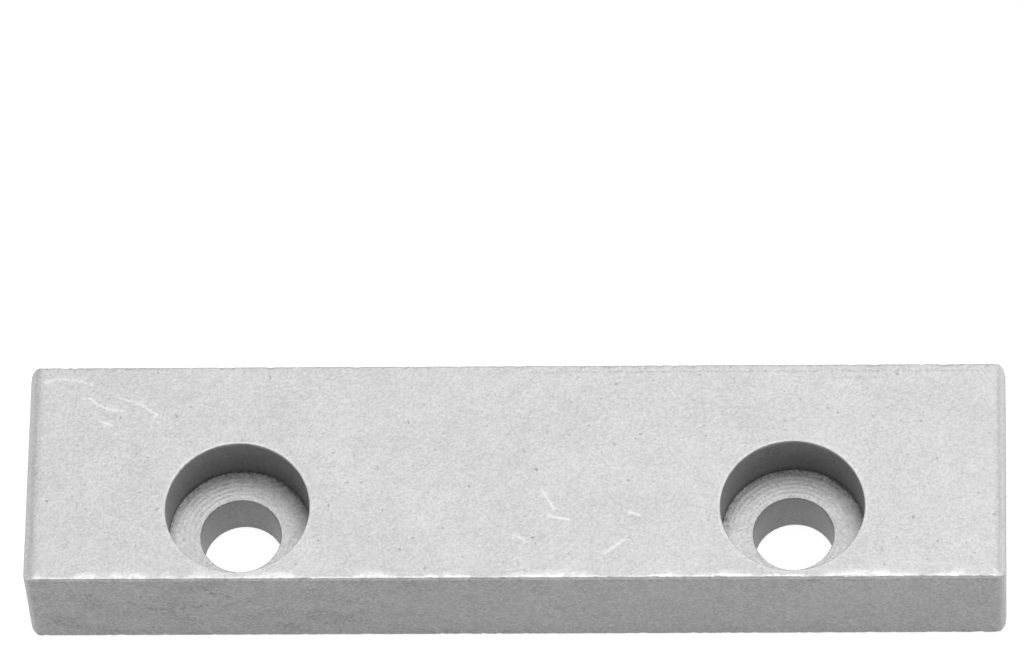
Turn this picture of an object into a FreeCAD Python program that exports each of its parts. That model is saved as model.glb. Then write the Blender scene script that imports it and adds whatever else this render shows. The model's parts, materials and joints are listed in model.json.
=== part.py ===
"""Machinable soft jaw for a small milling or bench vise.

One length of soft aluminium bar, cut to the width of the vise and held to it by two
low-head cap screws. The user mills it to suit the work. The jaw lies on its mounting
face, with the counterbores open upwards:

  +X  along the jaw, across the width of the vise
  +Y  from the bottom edge, which stands on the vise bed, to the top edge
  +Z  from the mounting face to the gripping face

The origin is the centre of the mounting face. All sizes are in millimetres.
"""

import FreeCAD, Part
import math
import os

# The bar.
JAW_LENGTH = 101.6  # the width of a 4 inch vise
JAW_HEIGHT = 25.0  # from the bottom edge to the top edge
JAW_THICKNESS = 12.7  # from the mounting face to the gripping face

# Its edges. The sawn ends are chamfered all round, and tumbling then rounds every edge a little.
END_CHAMFER = 0.65
EDGE_RADIUS = 0.25

# The two counterbored holes, for M8 low-head cap screws.
SCREW_SPACING = 57.5
SCREW_HOLE_DIAMETER = 8.4
COUNTERBORE_DIAMETER = 15.0
COUNTERBORE_DEPTH = 6.4
WALL_UNDER_COUNTERBORE = 0.9  # metal left between a counterbore and the bottom edge

# Their edges.
FLOOR_CORNER_RADIUS = 0.2  # left by the corner of the cutter
RIM_RADIUS = 0.12  # tumbled rim of the counterbore
MOUTH_RADIUS = 0.1  # tumbled mouth of the hole in the counterbore's floor
BACK_CHAMFER = 0.3  # deburred mouth of the hole in the mounting face

SCREW_HEIGHT = WALL_UNDER_COUNTERBORE + COUNTERBORE_DIAMETER / 2  # of the screws above the bottom edge
COUNTERBORE_FLOOR = JAW_THICKNESS - COUNTERBORE_DEPTH
CUT_OVERRUN = 1.0  # how far a cutter runs past the face that it opens
SAME_PLACE = 1e-6  # how far apart two equal sizes may come out


def same(a, b):
    """True if two sizes or places are equal."""
    return abs(a - b) < SAME_PLACE


def in_an_end_face(edge):
    """True if the whole edge lies in one of the bar's two end faces."""
    box = edge.BoundBox
    return same(box.XMin, box.XMax) and same(abs(box.XMin), JAW_LENGTH / 2)


def bar():
    """The sawn bar, with its ends chamfered and its edges tumbled round."""
    corner = FreeCAD.Vector(-JAW_LENGTH / 2, -JAW_HEIGHT / 2, 0)
    block = Part.makeBox(JAW_LENGTH, JAW_HEIGHT, JAW_THICKNESS, corner)
    block = block.makeChamfer(END_CHAMFER, [edge for edge in block.Edges if in_an_end_face(edge)])
    return block.makeFillet(EDGE_RADIUS, block.Edges)


def screw_cutter(x):
    """The space that one screw takes: its hole, and the counterbore for its head."""
    y = SCREW_HEIGHT - JAW_HEIGHT / 2
    hole_start = FreeCAD.Vector(x, y, -CUT_OVERRUN)
    hole = Part.makeCylinder(SCREW_HOLE_DIAMETER / 2, JAW_THICKNESS + 2 * CUT_OVERRUN, hole_start)
    bore_start = FreeCAD.Vector(x, y, COUNTERBORE_FLOOR)
    bore = Part.makeCylinder(COUNTERBORE_DIAMETER / 2, COUNTERBORE_DEPTH + CUT_OVERRUN, bore_start)
    return hole.fuse(bore)


def rings(shape, diameter, height):
    """The shape's circular edges of one diameter at one height above the mounting face."""
    closed = [edge for edge in shape.Edges if edge.isClosed() and same(edge.Length, math.pi * diameter)]
    return [edge for edge in closed if same(edge.CenterOfMass.z, height)]


def soft_jaw():
    """The finished jaw: the bar with both screw holes cut and their edges broken."""
    jaw = bar()
    for side in (-1, 1):
        jaw = jaw.cut(screw_cutter(side * SCREW_SPACING / 2))
    jaw = jaw.makeFillet(FLOOR_CORNER_RADIUS, rings(jaw, COUNTERBORE_DIAMETER, COUNTERBORE_FLOOR))
    jaw = jaw.makeFillet(RIM_RADIUS, rings(jaw, COUNTERBORE_DIAMETER, JAW_THICKNESS))
    jaw = jaw.makeFillet(MOUTH_RADIUS, rings(jaw, SCREW_HOLE_DIAMETER, COUNTERBORE_FLOOR))
    return jaw.makeChamfer(BACK_CHAMFER, rings(jaw, SCREW_HOLE_DIAMETER, 0))


os.makedirs("parts", exist_ok=True)
jaw = soft_jaw().Solids[0]
jaw.exportStep("parts/soft_jaw.step")
print("soft_jaw:", len(jaw.Faces), "faces, valid:", jaw.isValid(), "volume:", round(jaw.Volume, 1), "mm3")
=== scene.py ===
import json
import math

import bmesh
import bpy
import numpy as np
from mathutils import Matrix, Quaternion, Vector, noise


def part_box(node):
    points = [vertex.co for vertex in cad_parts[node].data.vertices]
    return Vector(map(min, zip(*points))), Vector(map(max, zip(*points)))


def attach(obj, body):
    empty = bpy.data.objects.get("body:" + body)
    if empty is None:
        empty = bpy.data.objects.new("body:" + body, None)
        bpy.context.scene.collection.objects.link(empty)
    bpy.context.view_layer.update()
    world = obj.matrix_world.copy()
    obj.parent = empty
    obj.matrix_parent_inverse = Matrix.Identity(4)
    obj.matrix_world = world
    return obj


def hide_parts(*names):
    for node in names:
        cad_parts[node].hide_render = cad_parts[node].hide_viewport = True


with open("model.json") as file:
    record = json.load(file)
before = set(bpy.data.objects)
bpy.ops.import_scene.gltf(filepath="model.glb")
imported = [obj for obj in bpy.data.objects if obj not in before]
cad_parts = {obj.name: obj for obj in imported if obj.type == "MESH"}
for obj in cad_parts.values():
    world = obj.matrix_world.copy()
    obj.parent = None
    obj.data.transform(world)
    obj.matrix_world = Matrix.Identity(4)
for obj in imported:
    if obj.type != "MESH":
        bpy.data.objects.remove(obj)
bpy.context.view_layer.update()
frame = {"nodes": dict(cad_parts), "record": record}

MM = 0.001

# ---------------------------------------------------------------- sizes, read from the frame

JAW_LOW, JAW_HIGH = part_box("soft_jaw")
HALF_LENGTH = (JAW_HIGH.x - JAW_LOW.x) / 2
HALF_HEIGHT = (JAW_HIGH.y - JAW_LOW.y) / 2
THICKNESS = JAW_HIGH.z - JAW_LOW.z
MOUNTS = {mount["name"]: mount for mount in frame["record"]["mounts"]}
SCREW_AXES = [Vector(MOUNTS[name]["pos_m"]) for name in ("counterbore_left", "counterbore_right")]
COUNTERBORE_RADIUS = MOUNTS["counterbore_left"]["dims"]["r_mm"] * MM
COUNTERBORE_DEPTH = MOUNTS["counterbore_left"]["dims"]["length_mm"] * MM
COUNTERBORE_FLOOR = SCREW_AXES[0].z - COUNTERBORE_DEPTH / 2

# ---------------------------------------------------------------- how finely the jaw is meshed

CELL = 0.56 * MM  # spacing of the mesh on the plain faces
EDGE_BAND = 0.65 * MM  # how far from an edge of the bar the mesh is made finer
MARK_BAND = 0.56 * MM  # the same, from the middle of a scratch
HALVINGS = 2  # how often the mesh is halved there
MERGE_DISTANCE = 0.0005 * MM
FLAT_ANGLE = math.radians(0.2)  # triangles that turn less than this belong to one flat face
CUT_TOLERANCE = 1e-8  # metres from a cut at which a corner counts as on it
WALL_TOLERANCE = 0.02 * MM  # how far outside a hole's wall a face still belongs to it
MOUTH_DEPTH = 0.15 * MM  # depth of a hole's broken mouth, which is tumbled as the face is

# ---------------------------------------------------------------- wear, and painted shade and highlight

END_ROUND = 1.2 * MM  # radius that the chamfers round the ends are worn to
TUMBLED_SIZE = 1.6 * MM  # soft hollows that the tumbler leaves all over
TUMBLED_DEPTH = 0.005 * MM
NICK_BAND = 0.45 * MM  # how far nicks reach from an edge
NICK_SKIN = 0.4 * MM  # and how far below the surface a point still belongs to the edge
NICK_SIZE = 0.7 * MM
NICK_DEPTH = 0.14 * MM

RUBBED_WIDTH = 0.5 * MM  # bright band along the gripping face's front edge
RUBBED_PATCH = 3 * MM  # the length over which its width comes and goes
RUBBED_SPECK = 0.45 * MM
RUBBED_SKIN = 0.3 * MM  # how deep the gripping face's surface is taken to be
RIM_HIGHLIGHT_HALF_WIDTH = 0.22 * MM  # painted highlight: a bright line round each counterbore's rim

SCRATCH_HALF_WIDTH = 0.21 * MM
SCRATCH_SPECK = 0.6 * MM  # size of the gaps in a scratch
SCRATCH_DEPTH = 0.02 * MM
STAIN_HALF_WIDTH = 0.5 * MM
STAIN_SPECK = 0.8 * MM
STAIN_DEPTH = 0.02 * MM
WITNESS_HALF_WIDTH = 0.15 * MM

SIDE_SKIN = 0.15 * MM  # how deep the surface of the bottom edge's face is taken to be
SHADE_DROP = 0.45 * MM  # painted shade: a dark line just under the front edge, and how far down it lies
SHADE_HALF_WIDTH = 0.35 * MM
SHADE_PATCH = 2 * MM
DIRT_SIZE = 1.8 * MM  # dirty clouds on the bottom edge's face, laid over painted shade
DIRT_STRETCH = (0.5, 1, 1)  # which makes them twice as long as high
SIDE_SHADE_FADE = 70 * MM  # painted shade: the length over which the clouds fade towards the right, so the face is darker to the left
CORNER_SHADE_BAND = 0.5 * MM  # painted shade in the corner of each counterbore's floor

# Scratches on the gripping face, each a run of (x, y) points in millimetres.
FACE_SCRATCHES = [
    [(-49.2, 10.7), (-47.9, 11.1), (-45.8, 10.9), (-44.3, 10.4)],
    [(-45.2, 8.7), (-44.4, 8.8), (-43.6, 8.0), (-42.0, 7.4), (-41.0, 7.3)],
    [(-41.3, 8.9), (-38.9, 7.9), (-36.7, 6.3)],
    [(-43.4, 6.1), (-42.1, 5.6)],
    [(2.9, -2.4), (4.2, -4.5)],
    [(3.7, -5.3), (5.8, -5.7)],
    [(11.9, -4.8), (13.0, -5.2)],
    [(0.3, -7.6), (1.4, -8.2)],
    [(9.4, -9.6), (11.4, -8.1)],
    [(49.5, -11.6), (50.1, -12.1)],
]
# A faint straight line beside the far edge, as a run of (x, y) points in millimetres.
WITNESS_LINE = [(1.3, 11.7), (49.0, 11.7)]
# Stained dents on the bottom edge's face, each a run of (x, z) points in millimetres.
SIDE_STAINS = [
    [(-40.6, 8.5), (-38.7, 6.2), (-35.7, 6.0), (-31.5, 7.1)],
    [(-34.0, 10.7), (-32.3, 11.1), (-31.3, 9.6), (-29.6, 8.9)],
]

# The jaw's finishes, in the order of its material slots.
TUMBLED, BORED, FACED, SAWN = range(4)

# ---------------------------------------------------------------- shared helpers


def hex_colour(code):
    """An sRGB hex colour as the linear colour that a shader takes."""
    channels = [int(code[i : i + 2], 16) / 255 for i in (0, 2, 4)]
    linear = [c / 12.92 if c <= 0.04045 else ((c + 0.055) / 1.055) ** 2.4 for c in channels]
    return (*linear, 1.0)


def smooth_step(share):
    """0 below 0, 1 above 1, and a smooth ramp between, for numbers or arrays."""
    share = np.clip(share, 0, 1)
    return share * share * (3 - 2 * share)


def new_piece(name, bm):
    """An object in the scene, made from the mesh that bm holds."""
    mesh = bpy.data.meshes.new(name)
    bm.to_mesh(mesh)
    bm.free()
    piece = bpy.data.objects.new(name, mesh)
    bpy.context.scene.collection.objects.link(piece)
    return piece


# ---------------------------------------------------------------- the jaw's mesh


def whole_faced_copy():
    """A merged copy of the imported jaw, with each flat face made whole."""
    bm = bmesh.new()
    bm.from_mesh(frame["nodes"]["soft_jaw"].data)
    bmesh.ops.remove_doubles(bm, verts=bm.verts, dist=MERGE_DISTANCE)
    bmesh.ops.dissolve_limit(bm, angle_limit=FLAT_ANGLE, verts=bm.verts, edges=bm.edges)
    return bm


def slice_into_cells(bm):
    """Cuts the faces along evenly spaced planes across all three axes."""
    for axis in range(3):
        normal = Vector((0, 0, 0))
        normal[axis] = 1
        cells = round((JAW_HIGH[axis] - JAW_LOW[axis]) / CELL)
        for step in range(1, cells):
            place = JAW_LOW + (JAW_HIGH - JAW_LOW) * (step / cells)
            parts = bm.verts[:] + bm.edges[:] + bm.faces[:]
            bmesh.ops.bisect_plane(bm, geom=parts, dist=CUT_TOLERANCE, plane_co=place, plane_no=normal)


def points_of(bm):
    """The mesh's vertices as rows of an array."""
    return np.array([vert.co for vert in bm.verts])


def plane_distances(points):
    """Each point's distances from the nearer end, long edge face and broad face, smallest first."""
    from_ends = HALF_LENGTH - np.abs(points[:, 0])
    from_sides = HALF_HEIGHT - np.abs(points[:, 1])
    from_faces = np.minimum(points[:, 2] - JAW_LOW.z, JAW_HIGH.z - points[:, 2])
    return np.sort(np.stack([from_ends, from_sides, from_faces], axis=1), axis=1)


def bore_gap(points):
    """How far each point is outside the nearer counterbore's wall, negative inside it."""
    distances = [np.hypot(points[:, 0] - axis.x, points[:, 1] - axis.y) for axis in SCREW_AXES]
    return np.minimum(*distances) - COUNTERBORE_RADIUS


def line_distance(points, line):
    """Each point's distance from a run of straight stretches."""
    nearest = np.full(len(points), np.inf)
    for start, end in zip(line, line[1:]):
        start, along = np.array(start), np.array(end) - np.array(start)
        share = np.clip((points - start) @ along / (along @ along), 0, 1)
        nearest = np.minimum(nearest, np.linalg.norm(points - start - share[:, None] * along, axis=1))
    return nearest


def witness_line():
    """The faint line along the far edge, in metres."""
    return [(x * MM, y * MM, JAW_HIGH.z) for x, y in WITNESS_LINE]


def face_lines():
    """The scratches on the gripping face, in metres."""
    return [[(x * MM, y * MM, JAW_HIGH.z) for x, y in line] for line in FACE_SCRATCHES]


def side_lines():
    """The stains on the bottom edge's face, in metres."""
    return [[(x * MM, JAW_LOW.y, z * MM) for x, z in line] for line in SIDE_STAINS]


def refine(bm):
    """Halves the mesh along the bar's edges and along every mark that is drawn as a line."""
    for halving in range(HALVINGS):
        points = points_of(bm)
        wanted = plane_distances(points)[:, 1] < EDGE_BAND
        if halving:
            # The mounting face's edges need only the first halving.
            wanted &= points[:, 2] > THICKNESS / 4
        for line in face_lines() + side_lines() + [witness_line()]:
            wanted |= line_distance(points, line) < MARK_BAND
        bm.verts.index_update()
        edges = [
            edge
            for edge in bm.edges
            if wanted[edge.verts[0].index] and wanted[edge.verts[1].index] and edge.calc_length() > CELL / 3
        ]
        bmesh.ops.subdivide_edges(bm, edges=edges, cuts=1, use_grid_fill=True)


# ---------------------------------------------------------------- the jaw's wear, and painted shade and highlight


def noise_at(points, size, seed, octaves=3):
    """Smooth noise from about -1 to 1, with features of that size."""
    shift = Vector((seed * 17.3, seed * 5.9, seed * 11.1))
    return np.array([noise.fractal(Vector(p) / size + shift, 1.0, 2.0, octaves) for p in points])


def line_marks(points, lines, half_width):
    """1 in the middle of the nearest line, 0 beyond its half width."""
    marks = np.zeros(len(points))
    for line in lines:
        marks = np.maximum(marks, smooth_step(1 - line_distance(points, line) / half_width))
    return marks


def rubbed(points, near_edge):
    """How bright each point is: rubbed mostly along the front edge, with a painted highlight round the
    counterbores' rims.
    """
    specks = noise_at(points, RUBBED_SPECK, seed=1)
    patchy = smooth_step(0.6 + specks + noise_at(points, RUBBED_PATCH, seed=9))
    width = RUBBED_WIDTH * np.maximum(0.2, 1 + 1.2 * noise_at(points, RUBBED_PATCH, seed=6))
    on_top = points[:, 2] > JAW_HIGH.z - RUBBED_SKIN
    along_front = smooth_step(1.5 - (points[:, 1] + HALF_HEIGHT) / width) * on_top
    # Painted highlight: a bright line round each counterbore's rim.
    rim_highlight = smooth_step(1 - np.abs(bore_gap(points)) / RIM_HIGHLIGHT_HALF_WIDTH) * on_top
    on_edges = np.maximum(along_front, 0.2 * near_edge) * (0.35 + 0.65 * patchy)
    return np.maximum(on_edges, rim_highlight * (0.4 + 0.6 * patchy))


def side_dirt_and_painted_shade(points):
    """How dark the bottom edge's face is at each point: clouds of dirt over painted shade, which darkens the
    whole face and more so to the left, and a painted shade line under the front edge.
    """
    on_side = points[:, 1] < -HALF_HEIGHT + SIDE_SKIN
    to_the_left = smooth_step(0.65 - points[:, 0] / SIDE_SHADE_FADE)
    patches = noise_at(points * DIRT_STRETCH, DIRT_SIZE, seed=8, octaves=4)
    # Painted shade: the whole face is darkened at least this much, and more towards the left; the noise
    # patches on it are dirt.
    clouds = np.maximum(0.4, to_the_left * smooth_step(0.5 + 0.6 * patches))
    # Painted shade: a dark line just under the front edge.
    from_shade = np.abs(JAW_HIGH.z - points[:, 2] - SHADE_DROP)
    shade = smooth_step(1 - from_shade / SHADE_HALF_WIDTH)
    shade *= smooth_step(0.5 + noise_at(points, SHADE_PATCH, seed=7))
    return on_side * np.maximum(0.5 * clouds, 0.6 * shade)


def stains_and_painted_shade(points):
    """How dark each point is: by dirt and painted shade on the bottom edge's face, by the dents with stains
    and the faint line, and by painted shade in the counterbores' corners.
    """
    darkening = line_marks(points, side_lines(), STAIN_HALF_WIDTH)
    darkening *= smooth_step(0.8 + noise_at(points, STAIN_SPECK, seed=5))
    witness = line_marks(points, [witness_line()], WITNESS_HALF_WIDTH)
    # Painted shade where each counterbore's floor meets its wall.
    corner_shade = smooth_step(1 - np.abs(points[:, 2] - COUNTERBORE_FLOOR) / CORNER_SHADE_BAND)
    corner_shade *= smooth_step(1.2 - np.abs(bore_gap(points)) / CORNER_SHADE_BAND)
    return np.maximum.reduce([0.8 * darkening, 0.3 * witness, side_dirt_and_painted_shade(points), corner_shade])


def wear_of(points):
    """The marks to paint on the mesh, painted shade and painted highlight among them, and how deep the wear
    goes at each point.
    """
    gaps = plane_distances(points)
    near_edge = smooth_step(1 - gaps[:, 1] / NICK_BAND) * (gaps[:, 0] < NICK_SKIN)
    scratches = line_marks(points, face_lines(), SCRATCH_HALF_WIDTH)
    scratches *= smooth_step(0.9 + noise_at(points, SCRATCH_SPECK, seed=2))
    marks = {"worn_and_painted_highlight": rubbed(points, near_edge), "scratched": scratches, "stains_and_painted_shade": stains_and_painted_shade(points)}
    nicks = near_edge * np.maximum(0, noise_at(points, NICK_SIZE, seed=1) - 0.05)
    depth = NICK_DEPTH * nicks + TUMBLED_DEPTH * noise_at(points, TUMBLED_SIZE, seed=3)
    depth += SCRATCH_DEPTH * scratches + STAIN_DEPTH * marks["stains_and_painted_shade"]
    return marks, depth


def wear_ends_round(points):
    """Wears the chamfers round both ends into rounds, across the height and across the thickness."""
    for axis, half, centre in ((1, HALF_HEIGHT, 0.0), (2, THICKNESS / 2, THICKNESS / 2)):
        inner = np.array([HALF_LENGTH, half]) - END_ROUND
        flat = points[:, [0, axis]] - (0, centre)
        past = np.abs(flat) - inner
        reach = np.hypot(past[:, 0], past[:, 1])
        over = (past.min(axis=1) > 0) & (reach > END_ROUND)
        kept = np.sign(flat[over]) * (inner + past[over] * (END_ROUND / reach[over])[:, None])
        points[over, 0] = kept[:, 0]
        points[over, axis] = kept[:, 1] + centre


def finish_of(face):
    """Which finish a face has: the counterbores are cut, the ends sawn and the rest tumbled."""
    centre = face.calc_center_median()
    within_a_wall = bore_gap(np.array([centre]))[0] < WALL_TOLERANCE
    if within_a_wall and centre.z < JAW_HIGH.z - MOUTH_DEPTH:
        return FACED if face.normal.z > 0.7 else BORED
    return SAWN if abs(face.normal.x) > 0.9 else TUMBLED


def build_jaw():
    """The jaw as a finely meshed solid with wear on its edges, scratches and dents."""
    bm = whole_faced_copy()
    slice_into_cells(bm)
    refine(bm)
    bm.normal_update()
    for face in bm.faces:
        face.material_index = finish_of(face)

    points = points_of(bm)
    normals = np.array([vert.normal for vert in bm.verts])
    marks, depth = wear_of(points)
    wear_ends_round(points)
    points -= normals * depth[:, None]
    for vert, point in zip(bm.verts, points):
        vert.co = point

    jaw = new_piece("soft_jaw_body", bm)
    jaw.data.shade_smooth()
    for name, values in marks.items():
        painted = jaw.data.attributes.new(name, "FLOAT", "POINT")
        painted.data.foreach_set("value", values.astype(np.float32))
    return jaw


# ---------------------------------------------------------------- materials

METALLIC = 0.4  # the oxide and the grain on bare aluminium scatter most of its light
ROUGHNESS_SPREAD = 0.06  # how much the grain varies the roughness
RUBBED_ROUGHNESS = 0.45
GRAIN = 0.28 * MM  # tumbling leaves a grain of about 0.1 mm: it is drawn coarser, so that it shows
GRAIN_DEPTH = 0.05 * MM
CLOUD = 5 * MM  # soft changes of tone over the metal
PATCH = 1.2 * MM
PIT = 0.5 * MM  # spacing of the small dark pits
HAIRLINE = 0.3 * MM  # hairlines are about 0.05 mm wide: they are drawn wider, so that they show
HAIRLINE_SHAPE = (1, 0.1, 1)  # ten times as long as wide
HAIRLINE_TURNS = (0.3, 1.3, 2.4)  # the ways that they run, in radians
CUT_LINE = 0.25 * MM  # saw and cutter lines are about 0.1 mm apart: they are drawn coarser, as above
CUT_STRETCH = 0.05  # how much narrower than long they are
RING_SPACING = 0.5 * MM  # rings on the counterbores' floors, coarser for the same reason
RINGS_PER_SCALE = 20 / math.tau  # how many rings a wave texture makes in one unit of its scale
NOISE_ROUGHNESS = 0.6

# A Mix node's colour sockets share their names with its other sockets, so they go by number.
COLOUR_FROM, COLOUR_TO, COLOUR_OUT = 6, 7, 2


def add(tree, kind, settings=(), inputs=()):
    """Adds a node with its settings, and its inputs as values or as sockets to link."""
    made = tree.nodes.new(kind)
    for name, value in dict(settings).items():
        setattr(made, name, value)
    for name, value in dict(inputs).items():
        if isinstance(value, bpy.types.NodeSocket):
            tree.links.new(value, made.inputs[name])
        else:
            made.inputs[name].default_value = value
    return made


def new_material(name):
    """An empty material and its node tree."""
    material = bpy.data.materials.new(name)
    material.use_nodes = True
    material.node_tree.nodes.clear()
    return material, material.node_tree


def hairlines(tree, place):
    """Short fine scratches that run every way, from parts knocking together in the tumbler."""
    marks = 0.0
    for turn in HAIRLINE_TURNS:
        turned = add(tree, "ShaderNodeMapping", inputs={"Vector": place, "Rotation": (0, 0, turn)})
        shape = {"Vector": turned.outputs["Vector"], "Scale": HAIRLINE_SHAPE}
        drawn = add(tree, "ShaderNodeMapping", inputs=shape).outputs["Vector"]
        texture = {"Vector": drawn, "Scale": 1 / HAIRLINE, "Detail": 2, "Roughness": NOISE_ROUGHNESS}
        lines = add(tree, "ShaderNodeTexNoise", inputs=texture).outputs["Fac"]
        only_peaks = {"Value": lines, "From Min": 0.7, "From Max": 0.8}
        sharp = add(tree, "ShaderNodeMapRange", inputs=only_peaks).outputs["Result"]
        marks = add(tree, "ShaderNodeMath", {"operation": "MAXIMUM"}, {0: marks, 1: sharp}).outputs[0]
    return marks


def metal_tone(tree, place, grain):
    """The metal's own tone from 0, dark, to 1, light: soft clouds and the grain in equal parts."""
    texture = {"Vector": place, "Roughness": NOISE_ROUGHNESS}
    cloud = add(tree, "ShaderNodeTexNoise", inputs={**texture, "Scale": 1 / CLOUD, "Detail": 4})
    patch = add(tree, "ShaderNodeTexNoise", inputs={**texture, "Scale": 1 / PATCH, "Detail": 3})
    sharp = add(tree, "ShaderNodeMapRange", inputs={"Value": grain, "From Min": 0.28, "From Max": 0.72})
    blend = {"Factor": 0.4, "A": cloud.outputs["Fac"], "B": patch.outputs["Fac"]}
    clouds = add(tree, "ShaderNodeMix", inputs=blend)
    blend = {"Factor": 0.5, "A": clouds.outputs["Result"], "B": sharp.outputs["Result"]}
    return add(tree, "ShaderNodeMix", inputs=blend).outputs["Result"]


def pits(tree, place):
    """Small dark pits, far apart."""
    texture = {"Vector": place, "Scale": 1 / PIT, "Detail": 0, "Roughness": NOISE_ROUGHNESS}
    specks = add(tree, "ShaderNodeTexNoise", inputs=texture).outputs["Fac"]
    only_peaks = {"Value": specks, "From Min": 0.8, "From Max": 0.88}
    return add(tree, "ShaderNodeMapRange", inputs=only_peaks).outputs["Result"]


def dark_marks_and_painted_shade(tree, grain, darkening):
    """Stains, dirt and painted shade, laid mostly in the hollows of the grain."""
    into_hollows = {"Value": grain, "From Min": 0.7, "From Max": 0.3, "To Max": 1.5}
    hollows = add(tree, "ShaderNodeMapRange", inputs=into_hollows).outputs["Result"]
    return add(tree, "ShaderNodeMath", {"operation": "MULTIPLY"}, {0: darkening, 1: hollows}).outputs[0]


def aluminium_colour(tree, place, grain, marks, dark, light):
    """The metal's tone, with its pits, hairlines, dirt and painted shade, scratches, and rubbed edges and
    painted highlights laid over it.
    """
    ends = {COLOUR_FROM: hex_colour(dark), COLOUR_TO: hex_colour(light)}
    tone = {"Factor": metal_tone(tree, place, grain), **ends}
    colour = add(tree, "ShaderNodeMix", {"data_type": "RGBA"}, tone).outputs[COLOUR_OUT]
    layers = (
        (pits(tree, place), 0.5, "6E6E6E"),
        (hairlines(tree, place), 0.35, "F6F6F6"),
        # Dark layer: stains and dirt, with painted shade on the bottom edge's face and in the counterbores'
        # corners.
        (dark_marks_and_painted_shade(tree, grain, marks["stains_and_painted_shade"]), 0.75, "6C6C6C"),
        (marks["scratched"], 0.7, "F8F8F8"),
        # Rubbed edges, and a painted highlight round the counterbores' rims.
        (marks["worn_and_painted_highlight"], 0.6, "F4F4F4"),
    )
    for share, most, code in layers:
        cover = add(tree, "ShaderNodeMapRange", inputs={"Value": share, "To Max": most})
        layer = {"Factor": cover.outputs["Result"], COLOUR_FROM: colour, COLOUR_TO: hex_colour(code)}
        colour = add(tree, "ShaderNodeMix", {"data_type": "RGBA"}, layer).outputs[COLOUR_OUT]
    return colour


def bare_aluminium(name, dark, light, roughness, lay=None, lay_depth=0.0):
    """What the jaw's finishes share. A lay is the pattern that a cutter leaves."""
    material, tree = new_material(name)
    place = add(tree, "ShaderNodeTexCoord").outputs["Object"]
    texture = {"Vector": place, "Scale": 1 / GRAIN, "Detail": 3, "Roughness": NOISE_ROUGHNESS}
    grain = add(tree, "ShaderNodeTexNoise", inputs=texture).outputs["Fac"]
    marks = {
        mark: add(tree, "ShaderNodeAttribute", {"attribute_name": mark}).outputs["Fac"]
        for mark in ("worn_and_painted_highlight", "scratched", "stains_and_painted_shade")
    }
    least, most = roughness - ROUGHNESS_SPREAD, roughness + ROUGHNESS_SPREAD
    grained = add(tree, "ShaderNodeMapRange", inputs={"Value": grain, "To Min": least, "To Max": most})
    blend = {"Factor": marks["worn_and_painted_highlight"], "A": grained.outputs["Result"], "B": RUBBED_ROUGHNESS}
    rough = add(tree, "ShaderNodeMix", inputs=blend)
    relief = {"Strength": 0.8, "Distance": GRAIN_DEPTH, "Height": grain}
    normal = add(tree, "ShaderNodeBump", inputs=relief).outputs["Normal"]
    if lay:
        relief = {"Strength": 0.6, "Distance": lay_depth, "Height": lay(tree, place), "Normal": normal}
        normal = add(tree, "ShaderNodeBump", inputs=relief).outputs["Normal"]
    surface = {
        "Base Color": aluminium_colour(tree, place, grain, marks, dark, light),
        "Metallic": METALLIC,
        "Roughness": rough.outputs["Result"],
        "Normal": normal,
    }
    shader = add(tree, "ShaderNodeBsdfPrincipled", inputs=surface)
    add(tree, "ShaderNodeOutputMaterial", inputs={"Surface": shader.outputs["BSDF"]})
    return material


def bored_lay(tree, place):
    """Fine level lines round the holes' walls, left by the cutter's feed."""
    stretched = {"Vector": place, "Scale": (CUT_STRETCH, CUT_STRETCH, 1)}
    drawn = add(tree, "ShaderNodeMapping", inputs=stretched).outputs["Vector"]
    texture = {"Vector": drawn, "Scale": 1 / CUT_LINE, "Detail": 2, "Roughness": NOISE_ROUGHNESS}
    return add(tree, "ShaderNodeTexNoise", inputs=texture).outputs["Fac"]


def faced_lay(tree, place):
    """Fine rings round each screw's axis, left on the floors by the counterboring cutter."""
    split = add(tree, "ShaderNodeSeparateXYZ", inputs={"Vector": place}).outputs
    # The two holes lie alike on both sides of the middle, so one set of rings serves both.
    across = add(tree, "ShaderNodeMath", {"operation": "ABSOLUTE"}, {0: split["X"]}).outputs[0]
    folded = add(tree, "ShaderNodeCombineXYZ", inputs={"X": across, "Y": split["Y"], "Z": split["Z"]})
    centre = Vector((abs(SCREW_AXES[0].x), SCREW_AXES[0].y, 0))
    moved = {"Vector": folded.outputs["Vector"], "Location": -centre}
    drawn = add(tree, "ShaderNodeMapping", inputs=moved).outputs["Vector"]
    rings = {"wave_type": "RINGS", "rings_direction": "Z"}
    scale = 1 / (RINGS_PER_SCALE * RING_SPACING)
    waves = {"Vector": drawn, "Scale": scale, "Distortion": 1.2, "Detail": 2}
    return add(tree, "ShaderNodeTexWave", rings, waves).outputs["Fac"]


def sawn_lay(tree, place):
    """Fine lines across the thickness of each end, left by the saw and the belt."""
    stretched = {"Vector": place, "Scale": (1, 1, CUT_STRETCH)}
    drawn = add(tree, "ShaderNodeMapping", inputs=stretched).outputs["Vector"]
    texture = {"Vector": drawn, "Scale": 1 / CUT_LINE, "Detail": 2, "Roughness": NOISE_ROUGHNESS}
    return add(tree, "ShaderNodeTexNoise", inputs=texture).outputs["Fac"]


def tumbled_aluminium():
    """Bare aluminium tumbled among stones: a pale matt grey with a fine even grain and no direction."""
    return bare_aluminium("tumbled_aluminium", "ACACAC", "EEEEEE", 0.55)


def bored_aluminium_with_painted_shade():
    """Bare aluminium cut by the flank of a cutter: a smoother grey in the holes' walls, darkened with painted
    shade.
    """
    # Its darker tones are painted shade for the walls, which get little light from above.
    return bare_aluminium("bored_aluminium_with_painted_shade", "747474", "B4B4B4", 0.45, bored_lay, lay_depth=0.02 * MM)


def faced_aluminium():
    """Bare aluminium cut by the end of a cutter: a pale grey with faint rings that catch the light."""
    return bare_aluminium("faced_aluminium", "989898", "ECECEC", 0.5, faced_lay, lay_depth=0.012 * MM)


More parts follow.
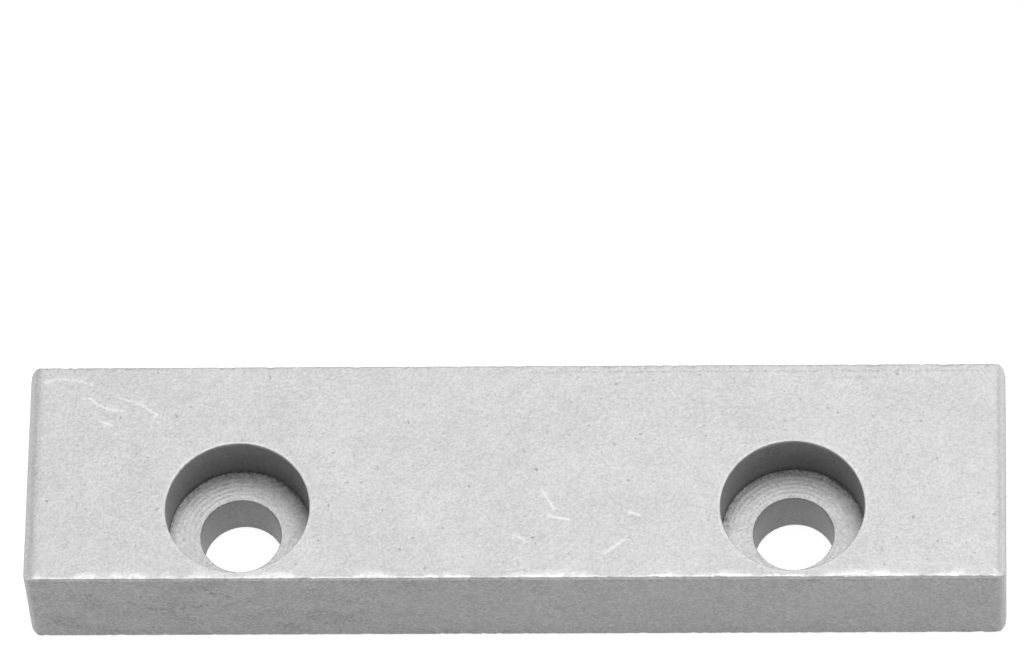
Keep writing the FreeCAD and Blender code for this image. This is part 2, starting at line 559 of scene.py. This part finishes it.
def sawn_aluminium():
    """Bare aluminium sawn off and rubbed on a belt: a pale grey with fine lines across the end."""
    return bare_aluminium("sawn_aluminium", "A8A8A8", "E4E4E4", 0.5, sawn_lay, lay_depth=0.02 * MM)


# ---------------------------------------------------------------- the studio

FLOOR_REACH = 4.0  # from the jaw to the floor's sides, in metres
FLOOR_GAP = 0.02 * MM  # keeps the floor clear of the mounting face
FLOOR_GLOW = 0.93  # what the camera and reflections see beyond the lamps' light
WORLD_GREY = 0.2  # the even light from all round
# Each lamp: its name, place and width in metres, and power in watts.
LAMPS = (
    ("key", (0.12, 0.22, 1.25), 0.7, 10.5),
    ("from_right", (1.2, 0.15, 0.35), 0.7, 5),
    ("from_left", (-1.2, 0.15, 0.35), 0.7, 3.5),
)


def white_paper():
    """White background paper, matt and plain, which shows the jaw's shadow as a soft grey."""
    material, tree = new_material("white_paper")
    path = add(tree, "ShaderNodeLightPath").outputs
    seen = path["Is Camera Ray"]
    for ray in ("Is Glossy Ray", "Is Transmission Ray"):
        seen = add(tree, "ShaderNodeMath", {"operation": "MAXIMUM"}, {0: seen, 1: path[ray]}).outputs[0]
    strength = add(tree, "ShaderNodeMath", {"operation": "MULTIPLY"}, {0: seen, 1: FLOOR_GLOW})
    glow = add(tree, "ShaderNodeEmission", inputs={"Strength": strength.outputs["Value"]})
    paper = add(tree, "ShaderNodeBsdfDiffuse", inputs={"Color": hex_colour("8C8C8C")})
    both = add(tree, "ShaderNodeAddShader", inputs={0: glow.outputs[0], 1: paper.outputs[0]})
    add(tree, "ShaderNodeOutputMaterial", inputs={"Surface": both.outputs["Shader"]})
    return material


def white_floor():
    """A plain floor of white paper under the jaw."""
    bm = bmesh.new()
    bmesh.ops.create_grid(bm, x_segments=1, y_segments=1, size=FLOOR_REACH)
    bmesh.ops.translate(bm, verts=bm.verts, vec=(0, 0, JAW_LOW.z - FLOOR_GAP))
    floor = new_piece("floor", bm)
    floor.data.materials.append(white_paper())


def soft_world():
    """An even grey dome, white where the camera looks past the floor."""
    world = bpy.data.worlds.new("studio")
    bpy.context.scene.world = world
    world.use_nodes = True
    tree = world.node_tree
    tree.nodes.clear()
    path = add(tree, "ShaderNodeLightPath").outputs
    levels = {"Value": path["Is Camera Ray"], "To Min": WORLD_GREY, "To Max": 1.0}
    strength = add(tree, "ShaderNodeMapRange", inputs=levels)
    sky = add(tree, "ShaderNodeBackground", inputs={"Strength": strength.outputs["Result"]})
    add(tree, "ShaderNodeOutputWorld", inputs={"Surface": sky.outputs["Background"]})


def soft_box(name, place, width, watts):
    """A square area lamp aimed at the jaw."""
    lamp = bpy.data.lights.new(name, "AREA")
    lamp.shape = "SQUARE"
    lamp.size = width
    lamp.energy = watts
    holder = bpy.data.objects.new(name, lamp)
    holder.location = place
    holder.rotation_mode = "QUATERNION"
    holder.rotation_quaternion = (-Vector(place)).to_track_quat("-Z", "Y")
    bpy.context.scene.collection.objects.link(holder)


# ---------------------------------------------------------------- the camera

VIEW_AZIMUTH = math.radians(5.55)
VIEW_ELEVATION = math.radians(61.35)
VIEW_ROLL = math.radians(-5.16)
VIEW_DISTANCE = 1225 * MM
VIEW_AIM = Vector((-1.3, 24.0, 0.0)) * MM
LENS_MM = 407.9
SENSOR_MM = 36
CLIP = (0.1, 20)  # in metres


def add_camera():
    """A long lens that looks down on the gripping face from the bottom edge's side."""
    level = math.cos(VIEW_ELEVATION)
    back = Vector((math.sin(VIEW_AZIMUTH) * level, -math.cos(VIEW_AZIMUTH) * level, math.sin(VIEW_ELEVATION)))
    lens = bpy.data.cameras.new("camera")
    lens.lens = LENS_MM
    lens.sensor_width = SENSOR_MM
    lens.clip_start, lens.clip_end = CLIP
    camera = bpy.data.objects.new("camera", lens)
    camera.location = VIEW_AIM + back * VIEW_DISTANCE
    camera.rotation_mode = "QUATERNION"
    camera.rotation_quaternion = (-back).to_track_quat("-Z", "Y") @ Quaternion((0, 0, 1), VIEW_ROLL)
    bpy.context.scene.collection.objects.link(camera)
    bpy.context.scene.camera = camera


# ---------------------------------------------------------------- the scene

add_camera()
bpy.context.scene.view_settings.view_transform = "Standard"
soft_world()
white_floor()
for lamp in LAMPS:
    soft_box(*lamp)

jaw = build_jaw()
for finish in (tumbled_aluminium, bored_aluminium_with_painted_shade, faced_aluminium, sawn_aluminium):
    jaw.data.materials.append(finish())
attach(jaw, "root")
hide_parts("soft_jaw")
